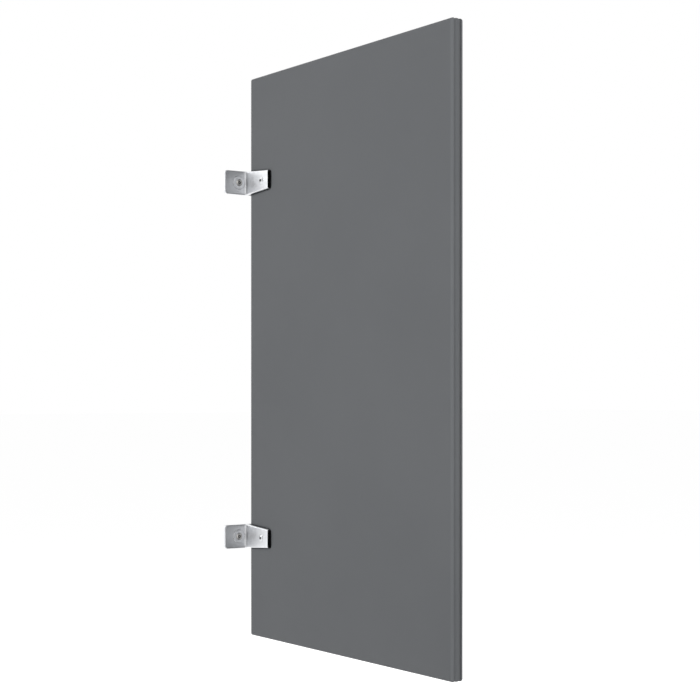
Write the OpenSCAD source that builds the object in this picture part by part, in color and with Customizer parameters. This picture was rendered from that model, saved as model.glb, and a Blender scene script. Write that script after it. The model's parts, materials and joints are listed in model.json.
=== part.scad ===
// Urinal privacy screen: a flat steel-faced panel on a honeycomb core, held square
// to the wall by two double-ear brackets. Millimetres.
//
// The wall is the plane y = 0 and the room is on its -y side. x runs across the
// panel's thickness, z is up, and the origin is on the wall, in the middle of the
// four wall screws.

/* [Panel] */
// Width of the panel, from its wall edge to its front edge
panel_w = 609.6; // [400:0.1:900]
// Height of the panel
panel_h = 1066.8; // [800:0.1:1500]
// Thickness of the panel over both face sheets
panel_t = 25.4; // [22:0.1:38]
// Clear gap between the wall and the panel
wall_gap = 10; // [9:0.5:25]

/* [Face sheets] */
// Thickness of the face sheets
sheet_t = 0.9; // [0.6:0.05:1.2]
// Outer radius of the rolled edges
edge_r = 5.5; // [4:0.1:6.5]
// Radius of the panel's four corners
corner_r = 4; // [2:0.1:25]
// Outer radius of the bend where a rolled edge turns in to its lip
lip_r = 1.4; // [1.3:0.05:2]
// How deep the lips reach into the panel, from its outer edge
lip_depth = 8; // [6:0.1:8.5]

/* [Edge strips] */
// Thickness of the strip that locks the two face sheets together
strip_t = 0.9; // [0.6:0.05:1.2]
// Rise of the strip's oval crown over its width
crown_rise = 1.3; // [0.6:0.1:2]
// How far the strip's hooks turn out behind the lips
hook_reach = 1.5; // [1:0.1:2.5]
// Clearance between the strip and the lips that it locks
strip_fit = 0.1; // [0.05:0.05:0.3]

/* [Core] */
// Width across the flats of one honeycomb cell
cell_w = 40; // [30:1:80]
// Thickness of the cell walls
cell_wall = 0.8; // [0.5:0.1:2]
// Clearance between the core and the pieces inside the panel's edges
core_fit = 1; // [0.5:0.25:5]

/* [Backing channels] */
// Thickness of the channels that back the panel behind the brackets
backing_t = 1.9; // [1:0.1:3]
// Height of a channel
backing_h = 76; // [50:1:150]
// How far a channel reaches past its bolt, into the panel
backing_past_bolt = 32; // [15:1:80]
// Clearance between a channel and the wall-side strip's hooks
backing_fit = 0.3; // [0.1:0.1:2]

/* [Wall brackets] */
// Width of a bracket's wall plate
plate_w = 132; // [115:1:180]
// Thickness of the wall plate
plate_t = 5.5; // [3:0.25:8]
// Height of the wall plate and of the ears where they leave it
plate_h = 45; // [36:1:70]
// Corner radius of the wall plate
plate_corner_r = 6; // [2:0.5:12]
// Radius on the front edges of the wall plate's two ends
plate_edge_r = 2; // [0.5:0.25:2.5]
// Thickness of an ear
ear_t = 6; // [4.5:0.25:9]
// Height of an ear at its free end
ear_end_h = 34; // [26:1:44]
// How far the ears reach over the panel's faces
ear_cover = 74; // [65:0.5:120]
// Corner radius of an ear's free end, seen from the side
ear_corner_r = 3; // [1:0.5:8]
// Radius on the edges of an ear's free end, seen from above
ear_edge_r = 2; // [0.5:0.25:2.2]
// Radius of the fillet between an ear and the wall plate
ear_fillet_r = 4; // [1:0.25:5]
// Clearance between an ear and the panel's face
ear_fit = 0.2; // [0.1:0.05:0.4]
// Distance from the panel's top edge to the middle of the upper bracket
upper_bracket_drop = 200; // [100:1:330]
// Distance from the panel's bottom edge to the middle of the lower bracket
lower_bracket_rise = 190; // [100:1:330]

/* [Wall screws] */
// Distance between the two screws of one bracket
screw_pitch = 70; // [68:0.5:90]
// Diameter of a screw's thread, which starts at the wall
screw_d = 6.1; // [5.5:0.1:7]
// Diameter of a screw's plain neck, from its head to the wall
screw_neck_d = 5.4; // [4:0.1:6]
// Diameter of a screw's countersunk head
screw_head_d = 12.4; // [10:0.1:14]
// Height of the dome on a screw's head
screw_dome_h = 1.5; // [0.5:0.1:2.5]
// How far a screw reaches into the wall
screw_reach = 38; // [20:1:70]
// Clearance round a screw's thread in the hole that it passes through
screw_fit = 0.4; // [0.1:0.05:0.8]
// Diameter of the boss round a screw's head
boss_d = 26; // [18:0.5:26]
// Height of the boss above the wall plate
boss_h = 1.2; // [0.5:0.1:3]

/* [Through bolts] */
// Distance from the panel's wall edge to the bolt
bolt_inset = 50; // [30:0.5:56]
// Diameter of the bolt's shank over its thread
bolt_d = 4.8; // [3:0.1:6]
// Outer diameter of the barrel nut's barrel
barrel_d = 6.8; // [6.6:0.1:9]
// Diameter of the heads of the bolt and of the barrel nut
bolt_head_d = 12.7; // [11:0.1:18]
// Height of those heads
bolt_head_h = 3; // [2.6:0.1:5]
// Length of thread that the bolt leaves free at the end of the barrel nut
bolt_spare = 5; // [1:0.5:10]
// Clearance round the bolt's shank in the barrel, and at the barrel's open end
thread_fit = 0.1; // [0.05:0.05:0.2]
// Clearance round the barrel in the ears, sheets and channels
barrel_fit = 0.2; // [0.1:0.05:0.5]

/* [Screw recesses] */
// Diameter over the six lobes of the recess in the bolts and wall screws
recess_d = 6.4; // [4:0.1:6.5]
// Depth of the recess below the top of the head
recess_depth = 2.2; // [1.5:0.1:2.4]
// Diameter of the security pin in the middle of the recess
pin_d = 1.7; // [1:0.1:2.4]

/* [Hidden] */
$fn = 64;
// How far a cutting shape runs past the face that it cuts
cut_over = 1;

// Half the panel's thickness, and half the room between the two face sheets
half_t = panel_t / 2;
inner_half_t = half_t - sheet_t;
// Width of the flat that a face sheet's edges take with them, and how much of it the
// middle of the sheet shares
flat_margin = 1;
flat_lap = flat_margin / 2;
// Distance of the lips from the panel's middle, and half the width of the crown
lip_v = half_t - edge_r - lip_r;
crown_half_w = lip_v - strip_fit;
// Radius of the crown's arc, from its width and its rise
crown_r = (crown_half_w * crown_half_w + crown_rise * crown_rise) / (2 * crown_rise);
// Depth of the strip's hooks below the panel's outer edge
hook_top = lip_depth + strip_fit;
strip_depth = hook_top + strip_t;
// Past the deepest point of the sheets' edges and the strips
mitre_depth = strip_depth + cut_over;

// Height of the brackets above and below the origin, and of the panel's bottom edge
bracket_z = (panel_h - upper_bracket_drop - lower_bracket_rise) / 2;
panel_z0 = -bracket_z - lower_bracket_rise;

// Where the channels start and end, measured in from the panel's wall edge
backing_start = strip_depth + backing_fit;
backing_end = bolt_inset + backing_past_bolt;
core_start = strip_depth + core_fit;

// Inner and outer faces of the ears, from the panel's middle, and their free end
ear_in = half_t + ear_fit;
ear_out = ear_in + ear_t;
ear_tip = wall_gap + ear_cover;
ear_taper = atan((plate_h - ear_end_h) / 2 / (ear_tip - plate_t));

bolt_y = -wall_gap - bolt_inset;
// The bolt and the barrel nut end short of the face where the other's head sits
barrel_length = 2 * ear_out - ear_t / 2;
bolt_length = 2 * ear_out - ear_t - bolt_spare;
barrel_hole_d = barrel_d + 2 * barrel_fit;
screw_hole_d = screw_d + 2 * screw_fit;

PANEL_PAINT = [0.42, 0.43, 0.44];
STRIP_PAINT = [0.38, 0.39, 0.40];
PAPER = [0.76, 0.64, 0.46];
ZINC = [0.62, 0.64, 0.66];
CHROME = [0.80, 0.81, 0.83];
STAINLESS = [0.70, 0.70, 0.70];

// ---- Places -------------------------------------------------------------------

// Panel space: x runs in from the wall edge, y up from the bottom edge, and z from
// the panel's middle towards its left face, which is the world's -x side.
module in_panel_space() {
    translate([0, -wall_gap, panel_z0])
        rotate([90, 0, -90])
            children();
}

module at_bracket(side) {
    translate([0, 0, side * bracket_z])
        children();
}

// An axis along x at a bracket's bolt, with z running towards the panel's right face
module at_bolt(side) {
    at_bracket(side)
        translate([0, bolt_y, 0])
            rotate([0, 90, 0])
                children();
}

// An axis along y at a wall screw, with z running into the wall
module at_screw(side, hand) {
    at_bracket(side)
        translate([hand * screw_pitch / 2, 0, 0])
            rotate([-90, 0, 0])
                children();
}

// ---- Shared shapes ------------------------------------------------------------

// A rectangle from its centre, with true round corners, or square ones where r is 0
module rounded_rect(w, h, r) {
    square([w - 2 * r, h], center = true);
    square([w, h - 2 * r], center = true);
    if (r > 0)
        for (x = [-1, 1], y = [-1, 1])
            translate([x * (w / 2 - r), y * (h / 2 - r)])
                circle(r);
}

// One quarter of a ring of sheet about the origin, in the -x half and the half
// given by side (1 above, -1 below)
module quarter_bend(outer_r, t, side) {
    intersection() {
        difference() {
            circle(outer_r);
            circle(outer_r - t);
        }
        translate([-outer_r, side > 0 ? 0 : -outer_r])
            square(outer_r);
    }
}

// A low dome of the given base diameter and height, standing on z = 0
module dome(d, h) {
    dome_r = (d * d / 4 + h * h) / (2 * h);
    rotate_extrude()
        intersection() {
            translate([0, h - dome_r])
                circle(dome_r);
            square([d / 2, h]);
        }
}

// The six-lobed recess with its security pin, cut down from z = top
module security_recess(top) {
    lobe_r = recess_d / 7;
    translate([0, 0, top - recess_depth])
        linear_extrude(recess_depth + cut_over)
            difference() {
                union() {
                    circle(recess_d / 2 - lobe_r);
                    for (lobe = [0 : 5])
                        rotate(60 * lobe)
                            translate([recess_d / 2 - lobe_r, 0])
                                circle(lobe_r);
                }
                circle(pin_d / 2);
            }
}

// ---- Panel edges --------------------------------------------------------------

// The waste beyond the mitre at the start of an edge, where a section is deeper than
// the corner's radius
module mitre_waste() {
    if (corner_r < mitre_depth)
        translate([0, 0, -half_t])
            linear_extrude(panel_t)
                polygon([
                    [corner_r - cut_over, corner_r], [corner_r, corner_r],
                    [mitre_depth, mitre_depth], [corner_r - cut_over, mitre_depth]
                ]);
}

// Runs a flat section along the straight of one edge of the panel, with a mitre at
// both ends. The section's x is the depth in from the edge and its y the distance from
// the panel's middle.
module edge_straight(length) {
    difference() {
        translate([corner_r, 0, 0])
            rotate([90, 0, 90])
                linear_extrude(length - 2 * corner_r)
                    children();
        mitre_waste();
        translate([length, 0, 0])
            mirror([1, 0, 0])
                mitre_waste();
    }
}

// Turns the same section round a corner, or a part of it, about the corner's middle
// at x, from one angle on to the next. What is deeper than the radius meets in the mitre.
module edge_corner(x, start, turn) {
    translate([x, corner_r, 0])
        rotate(start)
            rotate_extrude(angle = turn)
                translate([corner_r, 0])
                    mirror([1, 0])
                        intersection() {
                            children();
                            translate([0, -half_t])
                                square([corner_r, panel_t]);
                        }
}

// Places an edge run on the wall, front, bottom or top edge of the panel
module on_edge(edge) {
    if (edge == "bottom")
        children();
    if (edge == "top")
        translate([panel_w, panel_h, 0])
            rotate([0, 0, 180])
                children();
    if (edge == "wall")
        translate([0, panel_h, 0])
            rotate([0, 0, -90])
                children();
    if (edge == "front")
        translate([panel_w, 0, 0])
            rotate([0, 0, 90])
                children();
}

function edge_length(edge) = edge == "top" || edge == "bottom" ? panel_w : panel_h;

// A face sheet's edge: the margin of its flat, rolled round to the edge, turned in,
// and on as a flat lip
module rolled_section() {
    translate([edge_r, inner_half_t])
        square([flat_margin, sheet_t]);
    translate([edge_r, half_t - edge_r])
        quarter_bend(edge_r, sheet_t, 1);
    translate([lip_r, lip_v + lip_r])
        quarter_bend(lip_r, sheet_t, -1);
    translate([lip_r, lip_v])
        square([lip_depth - lip_r, sheet_t]);
}

// The strip: an oval crown between the rolled edges, a leg along each lip, and a
// hook turned out behind it
module strip_section() {
    intersection() {
        translate([crown_r, 0])
            difference() {
                circle(crown_r);
                circle(crown_r - strip_t);
            }
        translate([0, -crown_half_w])
            square([crown_rise + 2 * strip_t, 2 * crown_half_w]);
    }
    for (v = [-1, 1])
        scale([1, v]) {
            translate([crown_rise, crown_half_w - strip_t])
                square([strip_depth - crown_rise, strip_t]);
            translate([hook_top, crown_half_w - strip_t])
                square([strip_t, hook_reach + strip_t]);
        }
}

// ---- Panel pieces -------------------------------------------------------------

// One formed face sheet, with its four rolled edges and the two bolt holes
module face_sheet(hand) {
    color(PANEL_PAINT)
        in_panel_space()
            scale([1, 1, hand])
                difference() {
                    union() {
                        translate([panel_w / 2, panel_h / 2, inner_half_t])
                            linear_extrude(sheet_t)
                                rounded_rect(
                                    panel_w - 2 * (edge_r + flat_lap),
                                    panel_h - 2 * (edge_r + flat_lap),
                                    max(0, corner_r - edge_r - flat_lap)
                                );
                        for (edge = ["wall", "front", "bottom", "top"])
                            on_edge(edge) {
                                edge_straight(edge_length(edge))
                                    rolled_section();
                                edge_corner(corner_r, 180, 90)
                                    rolled_section();
                            }
                    }
                    for (side = [-1, 1])
                        translate([bolt_inset, side * bracket_z - panel_z0, inner_half_t - cut_over])
                            cylinder(h = sheet_t + 2 * cut_over, d = barrel_hole_d);
                }
}

// One locking strip, round half of the corner at each end to the mitre
module edge_strip(edge) {
    length = edge_length(edge);
    color(STRIP_PAINT)
        in_panel_space()
            on_edge(edge) {
                edge_straight(length)
                    strip_section();
                for (way = [1, -1])
                    translate([way > 0 ? 0 : length, 0, 0])
                        scale([way, 1, 1])
                            edge_corner(length - corner_r, 270, 45)
                                strip_section();
            }
}

// The outline of the core, with its corners cut off by the given lengths
module core_outline(w, h, cut_x, cut_y) {
    polygon([
        [cut_x, 0], [w - cut_x, 0], [w, cut_y], [w, h - cut_y],
        [w - cut_x, h], [cut_x, h], [0, h - cut_y], [0, cut_y]
    ]);
}

// The pocket for a backing channel, open to the left at x = 0 and flared there by the
// same lengths
module core_pocket(w, h, cut_x, cut_y) {
    translate([0, -h / 2])
        square([w, h]);
    polygon([
        [-cut_x, -h / 2 - 2 * cut_y], [cut_x, -h / 2],
        [cut_x, h / 2], [-cut_x, h / 2 + 2 * cut_y]
    ]);
}

// The honeycomb that fills the panel and is glued to both face sheets, with a
// pocket round each backing channel
module honeycomb_core() {
    w = panel_w - 2 * core_start;
    h = panel_h - 2 * core_start;
    step_x = cell_w + cell_wall;
    step_y = step_x * sqrt(3) / 2;
    // Each corner is cut off along the slope of the cell walls, for the length of one
    // wall, so that none is cut loose there
    cut_x = step_x / 2 + cell_wall;
    cut_y = cut_x * tan(30);
    color(PAPER)
        in_panel_space()
            translate([core_start, core_start, -inner_half_t])
                linear_extrude(2 * inner_half_t)
                    difference() {
                        core_outline(w, h, cut_x, cut_y);
                        for (row = [0 : ceil(h / step_y)], i = [0 : ceil(w / step_x)])
                            translate([(i + (row % 2) / 2 - 1 / 4) * step_x, row * step_y])
                                rotate(30)
                                    circle(cell_w / sqrt(3), $fn = 6);
                        for (side = [-1, 1])
                            translate([0, side * bracket_z - panel_z0 - core_start])
                                core_pocket(
                                    backing_end + core_fit - core_start,
                                    backing_h + 2 * core_fit,
                                    cut_x,
                                    cut_y
                                );
                    }
}

// The channel that stiffens the panel behind a bracket: a web behind the edge strip
// and a flange against each face sheet
module backing_channel(side) {
    color(ZINC)
        difference() {
            in_panel_space()
                translate([backing_start, side * bracket_z - panel_z0 - backing_h / 2, -inner_half_t])
                    difference() {
                        cube([backing_end - backing_start, backing_h, 2 * inner_half_t]);
                        translate([backing_t, -cut_over, backing_t])
                            cube([
                                backing_end - backing_start,
                                backing_h + 2 * cut_over,
                                2 * (inner_half_t - backing_t)
                            ]);
                    }
            at_bolt(side)
                cylinder(h = panel_t, d = barrel_hole_d, center = true);
        }
}

// ---- Brackets -----------------------------------------------------------------

// The bracket from above: the wall plate, two ears and the fillets outside them
module bracket_plan() {
    translate([-plate_w / 2 + plate_edge_r, -plate_t])
        square([plate_w - 2 * plate_edge_r, plate_t]);
    for (hand = [-1, 1])
        scale([hand, 1]) {
            translate([plate_w / 2 - plate_edge_r, 0]) {
                translate([0, -plate_t + plate_edge_r])
                    circle(plate_edge_r);
                translate([0, -plate_t + plate_edge_r])
                    square([plate_edge_r, plate_t - plate_edge_r]);
            }
            translate([ear_in + ear_t / 2, -(ear_tip + plate_t) / 2 + ear_edge_r / 2])
                square([ear_t, ear_tip - plate_t - ear_edge_r], center = true);
            translate([ear_in + ear_edge_r, -ear_tip])
                square([ear_t - 2 * ear_edge_r, 2 * ear_edge_r]);
            for (x = [ear_in + ear_edge_r, ear_out - ear_edge_r])
                translate([x, -ear_tip + ear_edge_r])
                    circle(ear_edge_r);
            translate([ear_out, -plate_t - ear_fillet_r])
                difference() {
                    square(ear_fillet_r);
                    translate([ear_fillet_r, 0])
                        circle(ear_fillet_r);
                }
        }
}

// The bracket from the side, tapering to the ears' free end. x is the distance from
// the wall.
module bracket_side() {
    corner_x = ear_tip - ear_corner_r;
    corner_y = ear_end_h / 2 + ear_corner_r * (tan(ear_taper) - 1 / cos(ear_taper));
    blend = [corner_x + ear_corner_r * sin(ear_taper), corner_y + ear_corner_r * cos(ear_taper)];
    upper = [[0, plate_h / 2], [plate_t, plate_h / 2], blend, [corner_x, corner_y], [ear_tip, corner_y]];
    lower = [for (i = [len(upper) - 1 : -1 : 0]) [upper[i][0], -upper[i][1]]];
    polygon(concat(upper, lower));
    for (v = [-1, 1])
        translate([corner_x, v * corner_y])
            circle(ear_corner_r);
}

// The boss round a wall screw, with a round edge, standing on the wall plate
module screw_boss() {
    translate([0, 0, -plate_t - boss_h])
        rotate_extrude() {
            square([boss_d / 2 - boss_h, boss_h]);
            intersection() {
                translate([boss_d / 2 - boss_h, boss_h])
                    circle(boss_h);
                square([boss_d / 2, boss_h]);
            }
        }
}

// The hole for a wall screw and the seat of its countersunk head
module screw_bore() {
    seat_z = -plate_t - boss_h;
    seat_depth = (screw_head_d - screw_hole_d) / 2 + screw_fit;
    translate([0, 0, seat_z - cut_over])
        cylinder(h = plate_t + boss_h + 2 * cut_over, d = screw_hole_d);
    translate([0, 0, seat_z])
        cylinder(h = seat_depth, d1 = screw_hole_d + 2 * seat_depth, d2 = screw_hole_d);
}

// The one-piece casting: wall plate, two ears and two screw bosses
module wall_bracket(side) {
    color(CHROME)
        difference() {
            union() {
                at_bracket(side)
                    intersection() {
                        translate([0, 0, -plate_h / 2])
                            linear_extrude(plate_h)
                                bracket_plan();
                        translate([-plate_w / 2, 0, 0])
                            rotate([90, 0, 90])
                                linear_extrude(plate_w)
                                    mirror([1, 0])
                                        bracket_side();
                        rotate([90, 0, 0])
                            linear_extrude(ear_tip)
                                rounded_rect(plate_w, plate_h, plate_corner_r);
                    }
                for (hand = [-1, 1])
                    at_screw(side, hand)
                        screw_boss();
            }
            for (hand = [-1, 1])
                at_screw(side, hand)
                    screw_bore();
            at_bolt(side)
                cylinder(h = 2 * ear_out + 2 * cut_over, d = barrel_hole_d, center = true);
        }
}

// ---- Fasteners ----------------------------------------------------------------

// A wall screw: domed countersunk head, plain neck, thread and point. z = 0 is the
// wall.
module wall_screw(side, hand) {
    head_z = -plate_t - boss_h;
    cone_h = (screw_head_d - screw_neck_d) / 2;
    point_h = screw_d;
    color(STAINLESS)
        at_screw(side, hand)
            difference() {
                union() {
                    translate([0, 0, head_z])
                        mirror([0, 0, 1])
                            dome(screw_head_d, screw_dome_h);
                    translate([0, 0, head_z])
                        cylinder(h = cone_h, d1 = screw_head_d, d2 = screw_neck_d);
                    translate([0, 0, head_z + cone_h])
                        cylinder(h = -head_z - cone_h, d = screw_neck_d);
                    cylinder(h = screw_reach - point_h, d = screw_d);
                    translate([0, 0, screw_reach - point_h])
                        cylinder(h = point_h, d1 = screw_d, d2 = screw_d / 6);
                }
                mirror([0, 0, 1])
                    security_recess(screw_dome_h - head_z);
            }
}

// The bolt through both ears, with its domed head on the left ear
module through_bolt(side) {
    color(CHROME)
        at_bolt(side)
            translate([0, 0, -ear_out])
                difference() {
                    union() {
                        mirror([0, 0, 1])
                            dome(bolt_head_d, bolt_head_h);
                        cylinder(h = bolt_length, d = bolt_d);
                    }
                    mirror([0, 0, 1])
                        security_recess(bolt_head_h);
                }
}

// The barrel nut that the bolt screws into, with its plain head on the right ear
module barrel_nut(side) {
    bore_d = bolt_d + 2 * thread_fit;
    color(CHROME)
        at_bolt(side)
            translate([0, 0, ear_out])
                difference() {
                    union() {
                        dome(bolt_head_d, bolt_head_h);
                        translate([0, 0, -barrel_length])
                            cylinder(h = barrel_length, d = barrel_d);
                    }
                    translate([0, 0, -barrel_length - cut_over])
                        cylinder(h = barrel_length + cut_over, d = bore_d);
                }
}

face_sheet(1);  // face_sheet_left
face_sheet(-1);  // face_sheet_right
honeycomb_core();
edge_strip("wall");  // edge_strip_wall
edge_strip("front");  // edge_strip_front
edge_strip("bottom");  // edge_strip_bottom
edge_strip("top");  // edge_strip_top
backing_channel(1);  // backing_channel_upper
backing_channel(-1);  // backing_channel_lower
wall_bracket(1);  // wall_bracket_upper
wall_bracket(-1);  // wall_bracket_lower
through_bolt(1);  // through_bolt_upper
through_bolt(-1);  // through_bolt_lower
barrel_nut(1);  // barrel_nut_upper
barrel_nut(-1);  // barrel_nut_lower
wall_screw(1, -1);  // wall_screw_upper_left
wall_screw(1, 1);  // wall_screw_upper_right
wall_screw(-1, -1);  // wall_screw_lower_left
wall_screw(-1, 1);  // wall_screw_lower_right
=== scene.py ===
"""The looks of a urinal privacy screen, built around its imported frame.

Lengths are metres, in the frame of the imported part: the wall is the plane y = 0, the
room is on its -y side, x runs across the panel's thickness and z is up.
"""

import json
import logging
import math
from contextlib import contextmanager
from dataclasses import dataclass
from enum import Enum
from typing import Any, Iterable, Iterator, NamedTuple, Sequence

import bmesh
import bpy
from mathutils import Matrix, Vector
from mathutils.geometry import tessellate_polygon


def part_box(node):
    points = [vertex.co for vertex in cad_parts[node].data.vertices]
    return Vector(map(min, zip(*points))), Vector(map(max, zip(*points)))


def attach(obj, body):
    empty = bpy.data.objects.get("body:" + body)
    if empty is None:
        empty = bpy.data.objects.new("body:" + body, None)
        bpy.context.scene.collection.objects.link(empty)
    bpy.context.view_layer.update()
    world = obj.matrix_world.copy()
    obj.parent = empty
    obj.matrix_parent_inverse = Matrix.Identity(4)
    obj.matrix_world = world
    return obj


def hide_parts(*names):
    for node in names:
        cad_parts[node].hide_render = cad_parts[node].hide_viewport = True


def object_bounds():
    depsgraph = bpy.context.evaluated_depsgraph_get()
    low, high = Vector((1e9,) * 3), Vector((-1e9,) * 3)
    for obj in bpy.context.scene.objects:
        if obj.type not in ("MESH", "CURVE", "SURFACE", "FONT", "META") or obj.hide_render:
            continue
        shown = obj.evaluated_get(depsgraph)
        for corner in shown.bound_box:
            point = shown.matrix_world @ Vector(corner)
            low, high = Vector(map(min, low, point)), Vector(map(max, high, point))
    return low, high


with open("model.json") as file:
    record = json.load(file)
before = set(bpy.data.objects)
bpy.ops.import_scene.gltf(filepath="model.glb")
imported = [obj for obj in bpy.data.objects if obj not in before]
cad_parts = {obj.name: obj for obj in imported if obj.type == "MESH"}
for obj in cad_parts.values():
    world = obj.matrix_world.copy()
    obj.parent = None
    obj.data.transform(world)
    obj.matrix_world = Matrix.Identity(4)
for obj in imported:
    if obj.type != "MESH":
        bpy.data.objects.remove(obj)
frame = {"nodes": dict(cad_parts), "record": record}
cad_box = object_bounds()

log = logging.getLogger("privacy_screen")

BODY = "root"
MM = 0.001
WELD = 2e-6  # Points that lie closer than this are one point.
FREE = 1.0  # A bend that no reach comes up to, for a rail without mitres.

Colour = tuple[float, float, float]


class Hand(Enum):
    """The two sides of the panel's middle plane, with the sign of x on each."""

    LEFT = -1
    RIGHT = 1


class Level(Enum):
    """The two heights at which a bracket holds the panel."""

    UPPER = "upper"
    LOWER = "lower"


class Edge(Enum):
    """The panel's four edges, with the way each looks in degrees up from the wall."""

    WALL = 0
    TOP = 90
    FRONT = 180
    BOTTOM = 270


# ---- Node trees ---------------------------------------------------------------


class Graph:
    """Adds and links the nodes of one shader or Geometry Nodes tree."""

    def __init__(self, tree: bpy.types.NodeTree) -> None:
        """Takes the tree that the nodes go into."""
        self.tree = tree

    def feed(self, socket: bpy.types.NodeSocket, value: Any) -> None:
        """Links an input to another node's output, or sets it to a plain value.

        Args:
            socket: The input.
            value: The output or the value.
        """
        if isinstance(value, bpy.types.NodeSocket):
            self.tree.links.new(value, socket)
        else:
            socket.default_value = value

    def add(
        self, kind: str, inputs: dict[Any, Any] | None = None, **settings: Any
    ) -> bpy.types.Node:
        """Adds one node.

        Args:
            kind: The node's Blender type.
            inputs: A socket or a plain value for each input, by name or index.
            **settings: The node's own properties.

        Returns:
            The new node.
        """
        node = self.tree.nodes.new(kind)
        for name, value in settings.items():
            setattr(node, name, value)
        for key, value in (inputs or {}).items():
            self.feed(node.inputs[key], value)
        return node

    def math(self, operation: str, *values: Any, clamp: bool = False) -> bpy.types.NodeSocket:
        """Adds a Math node of sockets or numbers. Where clamp is set, it stays from 0 to 1."""
        inputs = dict(enumerate(values))
        return self.add("ShaderNodeMath", inputs, operation=operation, use_clamp=clamp).outputs[0]

    def vector(self, operation: str, first: Any, second: Any) -> bpy.types.NodeSocket:
        """Adds a Vector Math node. The second input of SCALE is a number."""
        inputs = {0: first, ("Scale" if operation == "SCALE" else 1): second}
        return self.add("ShaderNodeVectorMath", inputs, operation=operation).outputs[0]

    def remap(
        self, value: Any, start: tuple[Any, Any], end: tuple[float, float] = (0.0, 1.0)
    ) -> bpy.types.NodeSocket:
        """Adds a smooth Map Range node, from the start range to the end range."""
        inputs = {0: value, 1: start[0], 2: start[1], 3: end[0], 4: end[1]}
        return self.add("ShaderNodeMapRange", inputs, interpolation_type="SMOOTHSTEP").outputs[0]

    def mix(self, share: Any, first: Any, second: Any) -> bpy.types.NodeSocket:
        """Mixes two numbers, with a share from 0 to 1 of the second."""
        inputs = {0: share, 2: first, 3: second}
        return self.add("ShaderNodeMix", inputs, data_type="FLOAT").outputs[0]

    def blend(self, share: Any, first: Any, second: Any) -> bpy.types.NodeSocket:
        """Mixes two colours.

        Args:
            share: How much of the second colour there is, from 0 to 1.
            first: The first colour, as a socket or three numbers.
            second: The second colour.

        Returns:
            The mixed colour.
        """
        node = self.add("ShaderNodeMix", data_type="RGBA")
        for index, value in ((0, share), (6, first), (7, second)):
            self.feed(node.inputs[index], (*value, 1.0) if isinstance(value, tuple) else value)
        return node.outputs[2]

    def group(self, tree: bpy.types.NodeTree, **inputs: Any) -> bpy.types.NodeSocket:
        """Places a shared shader group.

        Args:
            tree: The group.
            **inputs: Its inputs, with _ for each space in a name.

        Returns:
            Its output.
        """
        node = self.add("ShaderNodeGroup", node_tree=tree)
        for name, value in inputs.items():
            self.feed(node.inputs[name.replace("_", " ")], value)
        return node.outputs[0]


def new_group(
    name: str, kind: str, inputs: Iterable[tuple[str, str, Any]], output: tuple[str, str]
) -> tuple[Graph, bpy.types.Node, bpy.types.Node]:
    """Starts a node group with named inputs and one output.

    Args:
        name: The group's name.
        kind: The tree's Blender type.
        inputs: Name, socket type and default value of each input.
        output: Name and socket type of the output.

    Returns:
        The group's graph, its input node and its output node.
    """
    tree = bpy.data.node_groups.new(name, kind)
    for label, socket_type, default in inputs:
        socket = tree.interface.new_socket(label, in_out="INPUT", socket_type=socket_type)
        if default is not None:
            socket.default_value = default
    tree.interface.new_socket(output[0], in_out="OUTPUT", socket_type=output[1])
    graph = Graph(tree)
    return graph, graph.add("NodeGroupInput"), graph.add("NodeGroupOutput")


# ---- Sections run along rails ---------------------------------------------------


class Row(NamedTuple):
    """One point of a section.

    reach is measured along a station's outward way and rise along its lift. lobe and
    thread say how far the lobes and the thread push the point outward, and dome is 1
    where its rise follows the dome.
    """

    reach: float
    rise: float
    lobe: float = 0.0
    thread: float = 0.0
    dome: float = 0.0


class Station(NamedTuple):
    """One place on a rail, with the two ways of the section there and its turn.

    What reaches further than bend goes on along the mitre.
    """

    place: Vector
    outward: Vector
    lift: Vector
    turn: float = 0.0
    bend: float = FREE
    mitre: Vector = Vector((0.0, 0.0, 0.0))


def arc(
    centre: tuple[float, float], radius: float, start: float, end: float, steps: int
) -> list[Row]:
    """Makes the rows of an arc between two angles, in degrees from the reach to the rise."""
    angles = [math.radians(start + (end - start) * i / steps) for i in range(steps + 1)]
    return [Row(centre[0] + radius * math.cos(a), centre[1] + radius * math.sin(a)) for a in angles]


def axis_rail(origin: Vector, along: Vector, steps: int) -> list[Station]:
    """Makes the stations of a full turn about a level axis.

    Args:
        origin: Where the axis starts.
        along: The way it runs.
        steps: How many steps the turn has.

    Returns:
        The stations from the top and round, the first one again at the end.
    """
    up = Vector((0.0, 0.0, 1.0))
    side = along.cross(up)
    turns = [2 * math.pi * (i % steps) / steps for i in range(steps + 1)]
    return [Station(origin, math.cos(a) * up + math.sin(a) * side, along, a) for a in turns]


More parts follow.
